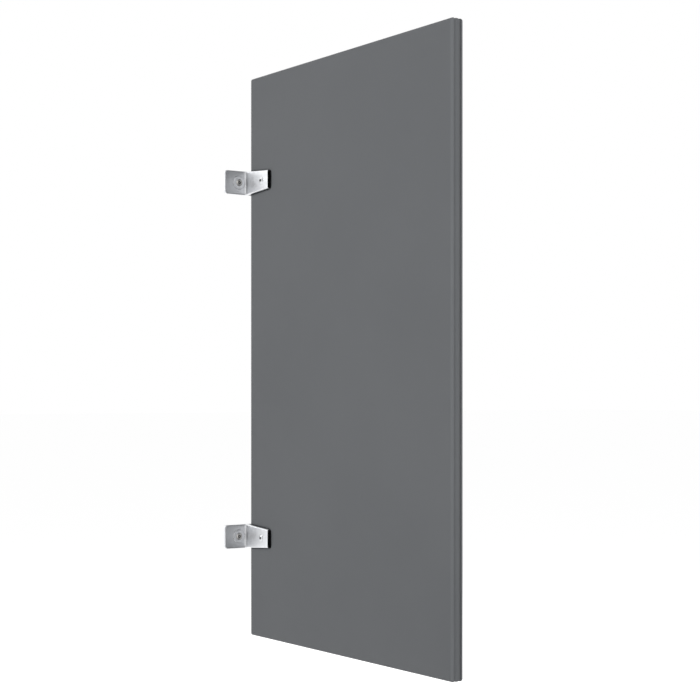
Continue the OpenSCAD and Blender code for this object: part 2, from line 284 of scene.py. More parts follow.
class SectionRunner:
    """Runs a section along a rail with Geometry Nodes, for rolled edges and turned pieces."""

    def __init__(self) -> None:
        """Builds the tree once."""
        graph, start, end = new_group(
            "section_along_rail",
            "GeometryNodeTree",
            [
                ("Rail", "NodeSocketGeometry", None),
                ("Section", "NodeSocketObject", None),
                ("Lobes", "NodeSocketFloat", 6.0),
                ("Thread Pitch", "NodeSocketFloat", 0.002),
                ("Crest Width", "NodeSocketFloat", 0.4),
                ("Dome Radius", "NodeSocketFloat", 0.01),
                ("Weld Distance", "NodeSocketFloat", WELD),
                ("Finish", "NodeSocketMaterial", None),
            ],
            ("Skin", "NodeSocketGeometry"),
        )
        self.tree = graph.tree
        section = graph.add("GeometryNodeObjectInfo", {"Object": start.outputs["Section"]})
        section = section.outputs["Geometry"]
        columns, rows = (
            graph.add("GeometryNodeAttributeDomainSize", {0: geometry}).outputs["Point Count"]
            for geometry in (start.outputs["Rail"], section)
        )
        grid = graph.add("GeometryNodeMeshGrid", {"Vertices X": columns, "Vertices Y": rows})
        spot = self._spot(graph, start, section, rows)
        made = grid.outputs[0]
        for kind, inputs in (
            ("GeometryNodeSetPosition", {"Position": spot}),
            ("GeometryNodeMergeByDistance", {"Distance": start.outputs["Weld Distance"]}),
            ("GeometryNodeRealizeInstances", {}),
            ("GeometryNodeSetMaterial", {"Material": start.outputs["Finish"]}),
        ):
            made = graph.add(kind, {0: made, **inputs}).outputs[0]
        graph.feed(end.inputs[0], made)
        items = self.tree.interface.items_tree
        self.sockets = {item.name: item.identifier for item in items if item.in_out == "INPUT"}

    def _spot(
        self,
        graph: Graph,
        start: bpy.types.Node,
        section: bpy.types.NodeSocket,
        rows: bpy.types.NodeSocket,
    ) -> bpy.types.NodeSocket:
        """Finds where each point of the grid goes.

        Args:
            graph: The tree's graph.
            start: The group's inputs.
            section: The section's points.
            rows: How many they are.

        Returns:
            The place.
        """
        rail = start.outputs["Rail"]
        index = graph.add("GeometryNodeInputIndex").outputs[0]
        column, row = (
            graph.add("FunctionNodeIntegerMath", {0: index, 1: rows}, operation=operation).outputs[0]
            for operation in ("DIVIDE", "MODULO")
        )
        point, place, outward, lift, mitre = (
            self._sample(graph, geometry, number, "FLOAT_VECTOR", name)
            for geometry, number, name in (
                (section, row, None),
                (rail, column, None),
                (rail, column, "outward"),
                (rail, column, "lift"),
                (rail, column, "mitre"),
            )
        )
        turn, bend = (self._sample(graph, rail, column, "FLOAT", name) for name in ("turn", "bend"))
        lobe, thread, dome = (
            self._sample(graph, section, row, "FLOAT", name) for name in ("lobe", "thread", "dome")
        )
        reach, rise, _ = graph.add("ShaderNodeSeparateXYZ", {0: point}).outputs
        wave = graph.math("COSINE", graph.math("MULTIPLY", turn, start.outputs["Lobes"]))
        reach = graph.math("ADD", reach, graph.math("MULTIPLY", lobe, wave))
        crest = self._crest(graph, rise, turn, start)
        reach = graph.math("ADD", reach, graph.math("MULTIPLY", thread, crest))
        radius = start.outputs["Dome Radius"]
        radius_square, reach_square = (graph.math("POWER", length, 2.0) for length in (radius, reach))
        square = graph.math("MAXIMUM", graph.math("SUBTRACT", radius_square, reach_square), 0.0)
        fall = graph.math("SUBTRACT", radius, graph.math("SQRT", square))
        rise = graph.math("ADD", rise, graph.math("MULTIPLY", dome, fall))
        past = graph.math("MAXIMUM", graph.math("SUBTRACT", reach, bend), 0.0)
        reach = graph.math("MINIMUM", reach, bend)
        spot = graph.vector("ADD", place, graph.vector("SCALE", outward, reach))
        spot = graph.vector("ADD", spot, graph.vector("SCALE", mitre, past))
        return graph.vector("ADD", spot, graph.vector("SCALE", lift, rise))

    @staticmethod
    def _sample(
        graph: Graph,
        geometry: bpy.types.NodeSocket,
        index: bpy.types.NodeSocket,
        kind: str,
        name: str | None,
    ) -> bpy.types.NodeSocket:
        """Reads a value of one point of a mesh.

        Args:
            graph: The tree's graph.
            geometry: The mesh.
            index: The point's number.
            kind: The value's data type.
            name: The attribute that holds it, or None for the point's position.

        Returns:
            The value.
        """
        if name is None:
            source = graph.add("GeometryNodeInputPosition")
        else:
            source = graph.add("GeometryNodeInputNamedAttribute", {"Name": name}, data_type=kind)
        inputs = {"Geometry": geometry, "Value": source.outputs[0], "Index": index}
        return graph.add("GeometryNodeSampleIndex", inputs, data_type=kind).outputs[0]

    @staticmethod
    def _crest(
        graph: Graph, rise: bpy.types.NodeSocket, turn: bpy.types.NodeSocket, start: bpy.types.Node
    ) -> bpy.types.NodeSocket:
        """Makes the thread's crest, which climbs one pitch a turn.

        Args:
            graph: The tree's graph.
            rise: The point's place along the axis.
            turn: Its angle about the axis.
            start: The group's inputs.

        Returns:
            1 on the crest and 0 at the root.
        """
        climbed = graph.math("DIVIDE", rise, start.outputs["Thread Pitch"])
        phase = graph.math("SUBTRACT", climbed, graph.math("DIVIDE", turn, 2 * math.pi))
        off = graph.math("ABSOLUTE", graph.math("SUBTRACT", graph.math("FRACT", phase), 0.5))
        slope = graph.math("DIVIDE", off, start.outputs["Crest Width"])
        return graph.math("SUBTRACT", 1.0, slope, clamp=True)

    @staticmethod
    def _points_object(
        name: str, points: Sequence[Vector], values: dict[str, list[Any]]
    ) -> bpy.types.Object:
        """Makes an object of loose points.

        Args:
            name: The object's name.
            points: Where the points are.
            values: The attributes of the points, by name.

        Returns:
            The object.
        """
        mesh = bpy.data.meshes.new(name)
        mesh.from_pydata(points, [], [])
        for label, column in values.items():
            is_vector = isinstance(column[0], Vector)
            layer = mesh.attributes.new(label, "FLOAT_VECTOR" if is_vector else "FLOAT", "POINT")
            flat = [part for value in column for part in value] if is_vector else column
            layer.data.foreach_set("vector" if is_vector else "value", flat)
        return add_object(name, mesh)

    def run(
        self,
        name: str,
        rail: Sequence[Station],
        rows: Sequence[Row],
        finish: bpy.types.Material,
        **sizes: float,
    ) -> bpy.types.Mesh:
        """Runs a section along a rail.

        Args:
            name: The name of the mesh.
            rail: The stations, the first one again at the end where it closes.
            rows: The section's points, the first one again at the end where it closes.
            finish: The material.
            **sizes: The tree's other inputs, with _ for each space in a name.

        Returns:
            The mesh, welded.
        """
        path, section = (
            self._points_object(
                f"{name}_{part}",
                points,
                {label: [getattr(item, label) for item in items] for label in labels},
            )
            for part, items, points, labels in (
                ("rail", rail, [station.place for station in rail], Station._fields[1:]),
                ("section", rows, [Vector((row.reach, row.rise, 0.0)) for row in rows], Row._fields[2:]),
            )
        )
        modifier = add_modifier(path, "NODES", node_group=self.tree)
        for label, value in {"Section": section, "Finish": finish, **sizes}.items():
            modifier[self.sockets[label.replace("_", " ")]] = value
        mesh = plain_mesh(path)
        mesh.name = name
        mesh.materials.clear()
        mesh.materials.append(finish)
        mesh.polygons.foreach_set("material_index", [0] * len(mesh.polygons))
        for helper in (path, section):
            data = helper.data
            bpy.data.objects.remove(helper)
            bpy.data.meshes.remove(data)
        return mesh


def add_modifier(thing: bpy.types.Object, kind: str, **settings: Any) -> bpy.types.Modifier:
    """Adds a modifier to an object.

    Args:
        thing: The object.
        kind: The modifier's Blender type.
        **settings: Its properties.

    Returns:
        The modifier.
    """
    modifier = thing.modifiers.new(kind.lower(), kind)
    for name, value in settings.items():
        setattr(modifier, name, value)
    return modifier


def plain_mesh(thing: bpy.types.Object) -> bpy.types.Mesh:
    """Makes a plain mesh of an object with its modifiers, which are then removed.

    Args:
        thing: The object.

    Returns:
        The new mesh.
    """
    graph = bpy.context.evaluated_depsgraph_get()
    mesh = bpy.data.meshes.new_from_object(thing.evaluated_get(graph))
    thing.modifiers.clear()
    return mesh


def add_object(name: str, data: bpy.types.ID) -> bpy.types.Object:
    """Makes an object of a mesh, a lamp or a camera, and links it into the scene.

    Args:
        name: The object's name.
        data: The mesh, lamp or camera.

    Returns:
        The object.
    """
    thing = bpy.data.objects.new(name, data)
    bpy.context.scene.collection.objects.link(thing)
    return thing


def smooth(mesh: bpy.types.Mesh, sharp_deg: float) -> None:
    """Smooths a mesh, but keeps the edges above an angle sharp."""
    mesh.shade_smooth()
    mesh.set_sharp_from_angle(angle=math.radians(sharp_deg))


def make_piece(name: str, mesh: bpy.types.Mesh, node: str) -> bpy.types.Object:
    """Makes a finished piece of a mesh that is already in place.

    Args:
        name: The piece's name.
        mesh: Its mesh.
        node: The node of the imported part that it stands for.

    Returns:
        The piece.
    """
    piece = add_object(name, mesh)
    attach(piece, BODY)
    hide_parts(node)
    log.info("%s: %d faces, stands for %s", name, len(mesh.polygons), node)
    return piece


@contextmanager
def edited(mesh: bpy.types.Mesh) -> Iterator[bmesh.types.BMesh]:
    """Opens a mesh for editing, and writes it back at the end.

    Args:
        mesh: The mesh.

    Yields:
        Its shape.
    """
    shape = bmesh.new()
    shape.from_mesh(mesh)
    yield shape
    shape.to_mesh(mesh)
    shape.free()


def face_outwards(shape: bmesh.types.BMesh) -> None:
    """Turns the faces of a closed shape outwards.

    Args:
        shape: The shape.
    """
    bmesh.ops.recalc_face_normals(shape, faces=shape.faces)
    if shape.calc_volume(signed=True) < 0:
        bmesh.ops.reverse_faces(shape, faces=shape.faces)


def close_slits(shape: bmesh.types.BMesh) -> None:
    """Splits an open edge where another one's end lies on it, and welds what then meets.

    Args:
        shape: The shape.
    """
    bmesh.ops.remove_doubles(shape, verts=shape.verts, dist=WELD)
    rims = [edge for edge in shape.edges if edge.is_boundary]
    ends = {vertex for edge in rims for vertex in edge.verts}
    for edge in rims:
        first, second = edge.verts
        along = second.co - first.co
        for vertex in ends - {first, second}:
            share = (vertex.co - first.co).dot(along) / along.length_squared
            if 0 < share < 1 and (first.co + share * along - vertex.co).length < WELD:
                bmesh.utils.edge_split(edge, first, share)
                break
    bmesh.ops.remove_doubles(shape, verts=shape.verts, dist=WELD)


# ---- Effects that the finishes share ------------------------------------------

NOISE_SPAN = (0.3, 0.7)  # The range that most of a noise lies in.


class Effects:
    """The shader node groups that more than one finish uses."""

    def __init__(self) -> None:
        """Builds each group once: fine grain, broad clouds, long wipe marks, and the mask for painted
        shade in crevices.
        """
        self.grain = self._build_noise("fine_grain", 2.0)
        self.clouds = self._build_noise("broad_clouds", 4.0, NOISE_SPAN)
        self.marks = self._build_noise("wipe_marks", 3.0)
        self.crevice = self._build_crevice()

    @staticmethod
    def _build_noise(
        name: str, detail: float, span: tuple[float, float] | None = None
    ) -> bpy.types.NodeTree:
        """Builds a noise pattern, as a height or a mask from 0 to 1.

        Args:
            name: The group's name.
            detail: How many finer layers the noise has.
            span: The range of the noise that is spread over 0 to 1, or None to leave it.

        Returns:
            The group.
        """
        graph, start, end = new_group(
            name,
            "ShaderNodeTree",
            [("Per Metre", "NodeSocketFloat", 900.0), ("Stretch", "NodeSocketVector", (1, 1, 1))],
            ("Height", "NodeSocketFloat"),
        )
        place = graph.add("ShaderNodeTexCoord").outputs["Object"]
        drawn = graph.add("ShaderNodeMapping", {"Vector": place, "Scale": start.outputs["Stretch"]})
        inputs = {"Vector": drawn.outputs[0], "Scale": start.outputs["Per Metre"], "Detail": detail}
        height = graph.add("ShaderNodeTexNoise", inputs).outputs["Fac"]
        graph.feed(end.inputs[0], graph.remap(height, span) if span else height)
        return graph.tree

    @staticmethod
    def _build_crevice() -> bpy.types.NodeTree:
        """Builds a mask from ambient occlusion that is 1 deep in corners and grooves and 0 in the open.
        The finishes paint shade with it.

        Returns:
            The group.
        """
        graph, start, end = new_group(
            "crevice",
            "ShaderNodeTree",
            [
                ("Reach", "NodeSocketFloat", 0.01),
                ("Starts At", "NodeSocketFloat", 0.1),
                ("Full At", "NodeSocketFloat", 0.5),
            ],
            ("Mask", "NodeSocketFloat"),
        )
        # Painted shade: this occlusion mask tells the finishes where to paint shade in corners and
        # grooves.
        seen = graph.add("ShaderNodeAmbientOcclusion", {"Distance": start.outputs[0]}, samples=12)
        closed = graph.math("SUBTRACT", 1.0, seen.outputs["AO"])
        graph.feed(end.inputs[0], graph.remap(closed, (start.outputs[1], start.outputs[2])))
        return graph.tree


# ---- Finishes -----------------------------------------------------------------


def new_material(name: str) -> tuple[bpy.types.Material, Graph, bpy.types.Node]:
    """Starts a material with a Principled BSDF.

    Args:
        name: The material's name.

    Returns:
        The material, its graph and its Principled BSDF.
    """
    material = bpy.data.materials.new(name)
    material.use_nodes = True
    material.node_tree.nodes.clear()
    graph = Graph(material.node_tree)
    surface = graph.add("ShaderNodeBsdfPrincipled")
    graph.add("ShaderNodeOutputMaterial", {"Surface": surface.outputs[0]})
    return material, graph, surface


def add_relief(graph: Graph, surface: bpy.types.Node, *layers: tuple[Any, float, float]) -> None:
    """Gives a surface relief.

    Args:
        graph: The material's graph.
        surface: The Principled BSDF.
        *layers: For each layer a height from 0 to 1, its depth, and how much of it shows.
    """
    below: dict[str, Any] = {}
    for height, depth, strength in layers:
        inputs = {"Height": height, "Distance": depth, "Strength": strength, **below}
        below = {"Normal": graph.add("ShaderNodeBump", inputs).outputs[0]}
    graph.feed(surface.inputs["Normal"], below["Normal"])


@dataclass(frozen=True)
class PowderCoat:
    """A low-sheen powder coat with a fine orange peel, and painted shade darkening it next to the ears and
    in its grooves.
    """

    name: str = "panel_paint"
    colour: Colour = (0.150, 0.156, 0.163)
    cloud_colour: Colour = (0.143, 0.149, 0.156)
    clouds_per_metre: float = 3.5
    # Painted shade: the near-black colour, and how far the occlusion mask reaches for it.
    groove_colour: Colour = (0.018, 0.019, 0.021)
    groove_reach: float = 12.0 * MM
    groove_span: tuple[float, float] = (0.14, 0.5)
    roughness: float = 0.62
    roughness_swing: float = 0.05
    specular: float = 0.12
    peel_per_metre: float = 650.0
    peel_depth: float = 0.07 * MM
    peel_strength: float = 0.45

    def build(self, effects: Effects) -> bpy.types.Material:
        """Builds the material.

        Args:
            effects: The shared node groups.

        Returns:
            The material.
        """
        material, graph, surface = new_material(self.name)
        clouds = graph.group(effects.clouds, Per_Metre=self.clouds_per_metre)
        start, full = self.groove_span
        # Painted shade: the paint goes near black where the occlusion mask finds the ears and grooves
        # close by.
        painted_shade = graph.group(effects.crevice, Reach=self.groove_reach, Starts_At=start, Full_At=full)
        paint = graph.blend(clouds, self.colour, self.cloud_colour)
        graph.feed(surface.inputs["Base Color"], graph.blend(painted_shade, paint, self.groove_colour))
        peel = graph.group(effects.grain, Per_Metre=self.peel_per_metre)
        rough = (self.roughness - self.roughness_swing, self.roughness + self.roughness_swing)
        graph.feed(surface.inputs["Roughness"], graph.remap(peel, NOISE_SPAN, rough))
        surface.inputs["Specular IOR Level"].default_value = self.specular
        add_relief(graph, surface, (peel, self.peel_depth, self.peel_strength))
        return material


@dataclass(frozen=True)
class Metal:
    """A bare or plated metal with wipe marks, and painted shade darkening its corners and recesses."""

    name: str
    colour: Colour
    roughness: float
    smear: float = 0.06
    # Painted shade: how far the occlusion mask reaches, and how dark the metal gets in corners and
    # recesses.
    dirt_reach: float = 5.0 * MM
    dirt_span: tuple[float, float] = (0.2, 0.42)
    dirt_share: float = 0.03
    dulled: float = 0.94
    waves_per_metre: float = 110.0
    wave_depth: float = 0.12 * MM
    marks_per_metre: float = 2600.0
    mark_stretch: tuple[float, float, float] = (1.0, 0.03, 1.0)
    mark_depth: float = 0.01 * MM
    relief: float = 0.5

    def build(self, effects: Effects) -> bpy.types.Material:
        """Builds the material.

        Args:
            effects: The shared node groups.

        Returns:
            The material.
        """
        material, graph, surface = new_material(self.name)
        surface.inputs["Metallic"].default_value = 1.0
        clouds = graph.group(effects.clouds, Per_Metre=self.waves_per_metre)
        start, full = self.dirt_span
        # Painted shade: corners and recesses go nearly black by the occlusion mask.
        corner_shade = graph.group(effects.crevice, Reach=self.dirt_reach, Starts_At=start, Full_At=full)
        dulled, corner_shade_tint = (
            tuple(share * part for part in self.colour) for share in (self.dulled, self.dirt_share)
        )
        tint = graph.blend(clouds, self.colour, dulled)
        graph.feed(surface.inputs["Base Color"], graph.blend(corner_shade, tint, corner_shade_tint))
        smear = graph.remap(clouds, (0.0, 1.0), (self.roughness, self.roughness + self.smear))
        graph.feed(surface.inputs["Roughness"], smear)
        marks = graph.group(effects.marks, Per_Metre=self.marks_per_metre, Stretch=self.mark_stretch)
        waves = graph.group(effects.grain, Per_Metre=self.waves_per_metre)
        layers = ((waves, self.wave_depth, self.relief), (marks, self.mark_depth, self.relief))
        add_relief(graph, surface, *layers)
        return material


@dataclass(frozen=True)
class PaintedShadeBlack:
    """A rough black that paints shade, put on the ears' free ends and in the bolts' recesses, where the
    shade falls.
    """

    name: str = "blacked_end"
    # Painted shade: a near-black colour with a slightly lighter mottle.
    colour: Colour = (0.0010, 0.0010, 0.0011)
    worn_colour: Colour = (0.0035, 0.0035, 0.0038)
    clouds_per_metre: float = 400.0
    roughness: float = 0.7
    specular: float = 0.03
    grains_per_metre: float = 1500.0
    grain_depth: float = 0.15 * MM
    grain_strength: float = 0.6

    def build(self, effects: Effects) -> bpy.types.Material:
        """Builds the material.

        Args:
            effects: The shared node groups.

        Returns:
            The material.
        """
        material, graph, surface = new_material(self.name)
        clouds = graph.group(effects.clouds, Per_Metre=self.clouds_per_metre)
        graph.feed(surface.inputs["Base Color"], graph.blend(clouds, self.colour, self.worn_colour))
        surface.inputs["Roughness"].default_value = self.roughness
        surface.inputs["Specular IOR Level"].default_value = self.specular
        grain = graph.group(effects.grain, Per_Metre=self.grains_per_metre)
        add_relief(graph, surface, (grain, self.grain_depth, self.grain_strength))
        return material


@dataclass(frozen=True)
class KraftPaper:
    """Raw kraft paper with short fibres."""

    name: str = "core_paper"
    colour: Colour = (0.54, 0.37, 0.18)
    fibre_colour: Colour = (0.42, 0.28, 0.13)
    fibres_per_metre: float = 500.0
    fibre_stretch: tuple[float, float, float] = (1.0, 1.0, 0.2)
    fibre_depth: float = 0.1 * MM
    fibre_strength: float = 0.4
    roughness: float = 0.85

    def build(self, effects: Effects) -> bpy.types.Material:
        """Builds the material.

        Args:
            effects: The shared node groups.

        Returns:
            The material.
        """
        material, graph, surface = new_material(self.name)
        density, stretch = self.fibres_per_metre, self.fibre_stretch
        fibres = graph.group(effects.clouds, Per_Metre=density, Stretch=stretch)
        graph.feed(surface.inputs["Base Color"], graph.blend(fibres, self.colour, self.fibre_colour))
        surface.inputs["Roughness"].default_value = self.roughness
        add_relief(graph, surface, (fibres, self.fibre_depth, self.fibre_strength))
        return material


class Finishes:
    """Every finish of the screen, by name. All but the painted shade black are the record's slots."""

    def __init__(self, effects: Effects) -> None:
        """Builds each material once.

        Args:
            effects: The shared node groups.
        """
        finishes = (
            PowderCoat(),
            KraftPaper(),
            PaintedShadeBlack(),
            Metal("zinc_coated_steel", (0.55, 0.57, 0.59), 0.38),
            Metal("bracket_chrome", (0.80, 0.81, 0.83), 0.40),
            Metal("stainless_steel", (0.62, 0.61, 0.59), 0.28),
        )
        self.by_name = {finish.name: finish.build(effects) for finish in finishes}

    def __getitem__(self, name: str) -> bpy.types.Material:
        """Gives a finish by its name."""
        return self.by_name[name]

    def dress(self, node: bpy.types.Object, slot: str) -> None:
        """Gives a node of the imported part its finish.

        Args:
            node: The node's object.
            slot: The record's material slot.
        """
        node.data.materials.clear()
        node.data.materials.append(self[slot])
        log.info("%s: carried over, finished as %s", node.name, slot)


# ---- The panel ------------------------------------------------------------------


@dataclass
class Panel:
    """Two formed face sheets, and the four strips that lock them together."""

    finishes: Finishes
    runner: SectionRunner
    sheet_t: float = 0.9 * MM
    edge_r: float = 5.5 * MM
    corner_r: float = 4.0 * MM
    lip_r: float = 1.4 * MM
    lip_depth: float = 8.0 * MM
    flat_margin: float = 0.8 * MM
    strip_t: float = 0.9 * MM
    crown_rise: float = 1.3 * MM
    crown_round: float = 0.35 * MM
    hook_reach: float = 1.5 * MM
    strip_fit: float = 0.1 * MM
    bolt_hole_d: float = 7.2 * MM
    bolt_inset: float = 50.0 * MM
    bend_steps: int = 18
    crown_steps: int = 10
    under_steps: int = 8
    corner_steps: int = 24
    hole_steps: int = 32
    sharp_deg: float = 30.0

    def __post_init__(self) -> None:
        """Takes the panel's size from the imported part."""
        left_low, left_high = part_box("face_sheet_left")
        self.half_t = -left_low.x
        self.half_width = (left_high.y - left_low.y) / 2
        self.half_height = (left_high.z - left_low.z) / 2
        self.centre = (left_low + left_high) / 2
        self.wall_y = left_high.y
        self.lip_v = self.half_t - self.edge_r - self.lip_r

    def build(self) -> None:
        """Builds the six pieces."""
        for hand in Hand:
            self._build_sheet(hand)
        for edge in Edge:
            self._build_strip(edge)

    def _corner(self, look_deg: float) -> Vector:
        """Finds the centre of the corner that looks at an angle.

        Args:
            look_deg: The angle, in degrees up from the wall.

        Returns:
            The centre.
        """
        look = math.radians(look_deg)
        return Vector(
            (
                0.0,
                self.centre.y + math.copysign(self.half_width - self.corner_r, math.cos(look)),
                self.centre.z + math.copysign(self.half_height - self.corner_r, math.sin(look)),
            )
        )

    def _stations(self, corner_deg: float, start: float, end: float, side: int) -> list[Station]:
        """Makes the stations round one corner.

        Args:
            corner_deg: The angle that the corner looks at.
            start: Where the stations start, in degrees up from the wall.
            end: Where they end.
            side: The sign of x that a section's rise runs towards.

        Returns:
            The stations. Their outward way is the section's depth, so it points inwards.
        """
        steps = round(self.corner_steps * (end - start) / 90)
        centre = self._corner(corner_deg)
        middle = math.radians(corner_deg)
        mitre = -math.sqrt(2) * Vector((0.0, math.cos(middle), math.sin(middle)))
        lift = Vector((side, 0.0, 0.0))
        stations = []
        for i in range(steps + 1):
            angle = math.radians(start + (end - start) * i / steps)
            look = Vector((0.0, math.cos(angle), math.sin(angle)))
            stations.append(Station(centre + self.corner_r * look, -look, lift, 0.0, self.corner_r, mitre))
        return stations

    def _rolled_section(self) -> list[Row]:
        """Makes the section of a sheet's edge, out along its outside and back inside.

        Returns:
            The rows.
        """
        t = self.sheet_t
        bend = (self.edge_r, self.half_t - self.edge_r)
        lip = (self.lip_r, self.lip_v + self.lip_r)
        margin = self.edge_r + self.flat_margin
        steps = self.bend_steps
        return [
            Row(margin, self.half_t),
            *arc(bend, self.edge_r, 90, 180, steps),
            *arc(lip, self.lip_r, 180, 270, steps)[1:],
            Row(self.corner_r, self.lip_v),
            Row(self.lip_depth - t / 3, self.lip_v),
            Row(self.lip_depth, self.lip_v + t / 3),
            Row(self.lip_depth, self.lip_v + 2 * t / 3),
            Row(self.lip_depth - t / 3, self.lip_v + t),
            Row(self.corner_r, self.lip_v + t),
            *arc(lip, self.lip_r - t, 270, 180, steps),
            *arc(bend, self.edge_r - t, 180, 90, steps),
            Row(margin, self.half_t - t),
        ]

    def _strip_section(self) -> list[Row]:
        """Makes the closed section of a strip: a crown, two legs and two hooks.

        Returns:
            The rows.
        """
        t = self.strip_t
        half = self.lip_v - self.strip_fit
        crown_r = (half * half + self.crown_rise * self.crown_rise) / (2 * self.crown_rise)
        hook = self.lip_depth + self.strip_fit
        deep = hook + t
        outer_end = math.degrees(math.asin((half - self.crown_round) / crown_r))
        inner_end = math.degrees(math.asin((half - t) / (crown_r - t)))
        middle = (crown_r, 0.0)
        crown = arc(middle, crown_r, 180, 180 - outer_end, self.crown_steps)
        under = arc(middle, crown_r - t, 180 - inner_end, 180, self.under_steps)
        rounded = self.crown_round
        side = [
            *crown,
            Row(self.crown_rise + 0.1 * rounded, half - 0.12 * rounded),
            Row(self.crown_rise + rounded, half),
            Row(self.corner_r, half),
            Row(hook, half),
            Row(hook, half + self.hook_reach),
            Row(deep, half + self.hook_reach),
            Row(deep, half - t),
            Row(self.corner_r, half - t),
            *under,
        ]
        other = [Row(row.reach, -row.rise) for row in reversed(side)]
        return side + other[1:]

    def _build_sheet(self, hand: Hand) -> None:
        """Builds a face sheet: its rolled rim, and the flats with the bolt holes.

        Args:
            hand: Which of the two.
        """
        name = f"face_sheet_{hand.name.lower()}"
        finish = self.finishes["panel_paint"]
        rail = [
            station
            for look in (315, 45, 135, 225)
            for station in self._stations(look, look - 45, look + 45, hand.value)
        ]
        mesh = self.runner.run(name + "_formed", [*rail, rail[0]], self._rolled_section(), finish)
        with edited(mesh) as shape:
            rims = []
            for across in (self.half_t, self.half_t - self.sheet_t):
                rim = [
                    vertex
                    for vertex in shape.verts
                    if vertex.is_boundary and abs(abs(vertex.co.x) - across) < self.sheet_t / 4
                ]
                rim.sort(key=lambda v: math.atan2(v.co.z - self.centre.z, v.co.y - self.centre.y))
                holes = [self._hole_ring(shape, level, hand.value * across) for level in Level]
                loops = [rim, *holes]
                corners = [vertex for loop in loops for vertex in loop]
                for triangle in tessellate_polygon([[vertex.co for vertex in loop] for loop in loops]):
                    shape.faces.new([corners[i] for i in triangle])
                rims.append(holes)
            for outer, inner in zip(*rims):
                for i in range(self.hole_steps):
                    j = (i + 1) % self.hole_steps
                    shape.faces.new((outer[i], outer[j], inner[j], inner[i]))
            face_outwards(shape)
        smooth(mesh, self.sharp_deg)
        make_piece(name + "_formed", mesh, name)

    def _hole_ring(self, shape: bmesh.types.BMesh, level: Level, x: float) -> list[bmesh.types.BMVert]:
        """Adds the ring of points of one bolt hole.

        Args:
            shape: The sheet.
            level: The bracket that the hole is for.
            x: Where the ring lies across the panel.

        Returns:
            The ring's points.
        """
        low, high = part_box(f"wall_bracket_{level.value}")
        y = self.wall_y - self.bolt_inset
        z = (low.z + high.z) / 2
        turns = [2 * math.pi * i / self.hole_steps for i in range(self.hole_steps)]
        r = self.bolt_hole_d / 2
        return [shape.verts.new((x, y + r * math.cos(a), z + r * math.sin(a))) for a in turns]

    def _build_strip(self, edge: Edge) -> None:
        """Builds a locking strip, with its two mitred ends closed.

        Args:
            edge: The edge that it lies on.
        """
        name = f"edge_strip_{edge.name.lower()}"
        finish = self.finishes["panel_paint"]
        look = edge.value
        first, last = look - 45, look + 45
        rail = self._stations(first, first, look, 1) + self._stations(last, look, last, 1)
        mesh = self.runner.run(name + "_rolled", rail, self._strip_section(), finish)
        with edited(mesh) as shape:
            bmesh.ops.dissolve_degenerate(shape, dist=WELD, edges=shape.edges)
            bmesh.ops.holes_fill(shape, edges=[e for e in shape.edges if e.is_boundary], sides=0)
            bmesh.ops.triangulate(shape, faces=[face for face in shape.faces if len(face.verts) > 4])
            face_outwards(shape)
        smooth(mesh, self.sharp_deg)
        make_piece(name + "_rolled", mesh, name)


# ---- Brackets and fasteners -------------------------------------------------------


